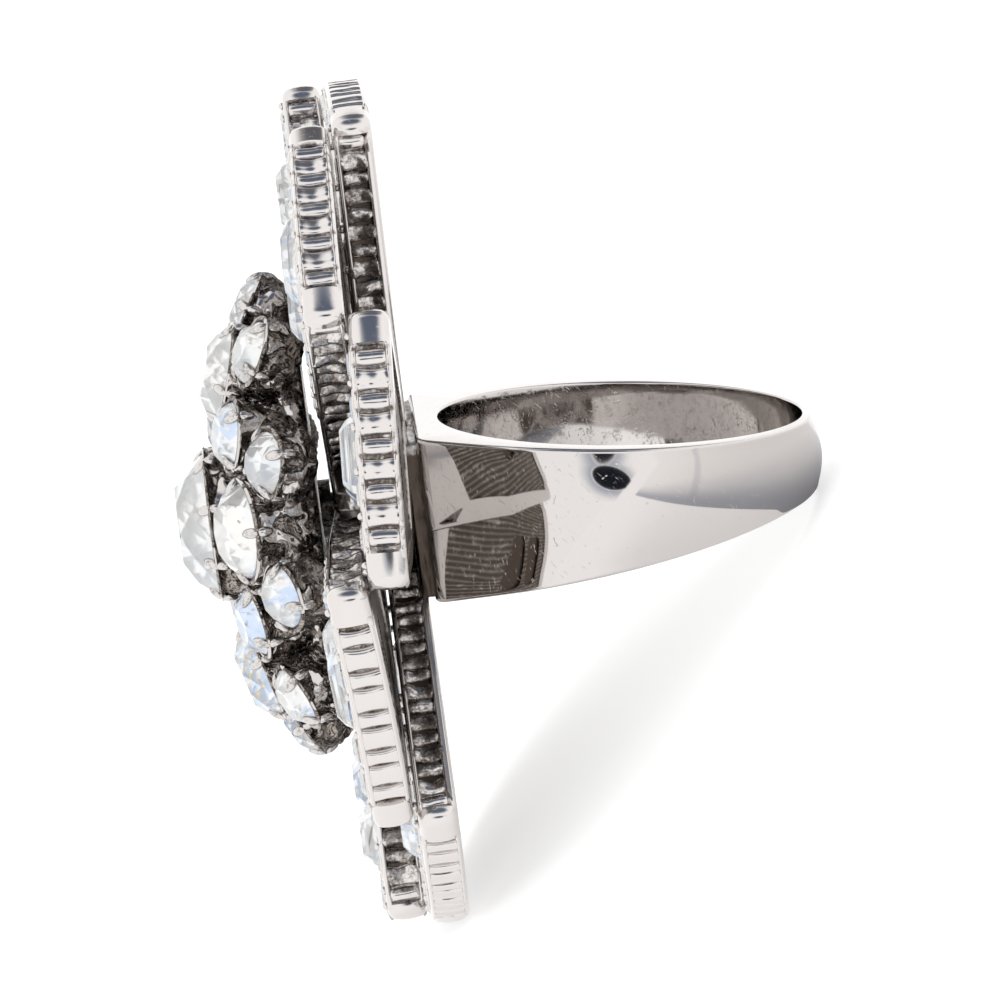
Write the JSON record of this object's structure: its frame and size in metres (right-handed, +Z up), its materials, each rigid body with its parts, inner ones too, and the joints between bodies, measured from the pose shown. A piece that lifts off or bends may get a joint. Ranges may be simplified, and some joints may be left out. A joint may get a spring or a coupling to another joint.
{
  "type": "statement ring",
  "caption": "Statement ring with a tapered band, two stacked layers of ribbed petals set with step-cut crystals, and a raised dome of round crystals in open cups.",
  "frame": {"origin": "centre of the part's box, at its lowest point, where it rests on the surface", "axes": "+Z up; +Y along the widest row of petals, across the finger; the head leans over towards -X, and the band lies towards +X"},
  "size_m": [0.0318, 0.0408, 0.0315],
  "materials": {
    "polished_silver": "polished silver with light scratches, tarnished dark in its grooves",
    "dark_silver": "silver with a dark bark texture, worn bright on its ridges",
    "crystal": "clear cut crystal"
  },
  "bodies": {
    "root": {"ring_frame": "polished_silver", "front_rosette": "polished_silver", "centre_post": "dark_silver", "cluster_basket": "dark_silver", "centre_stone": "crystal", "inner_stone_1": "crystal", "inner_stone_2": "crystal", "inner_stone_3": "crystal", "inner_stone_4": "crystal", "inner_stone_5": "crystal", "inner_stone_6": "crystal", "inner_stone_7": "crystal", "inner_stone_8": "crystal", "inner_stone_9": "crystal", "inner_stone_10": "crystal", "outer_stone_1": "crystal", "outer_stone_2": "crystal", "outer_stone_3": "crystal", "outer_stone_4": "crystal", "outer_stone_5": "crystal", "outer_stone_6": "crystal", "outer_stone_7": "crystal", "outer_stone_8": "crystal", "outer_stone_9": "crystal", "outer_stone_10": "crystal", "petal_stone_1": "crystal", "petal_stone_2": "crystal", "petal_stone_3": "crystal", "petal_stone_4": "crystal", "petal_stone_5": "crystal", "petal_stone_6": "crystal", "petal_stone_7": "crystal", "petal_stone_8": "crystal", "petal_stone_9": "crystal", "petal_stone_10": "crystal", "back_accent_stones": "crystal", "front_accent_stones": "crystal"}
  },
  "joints": []
}
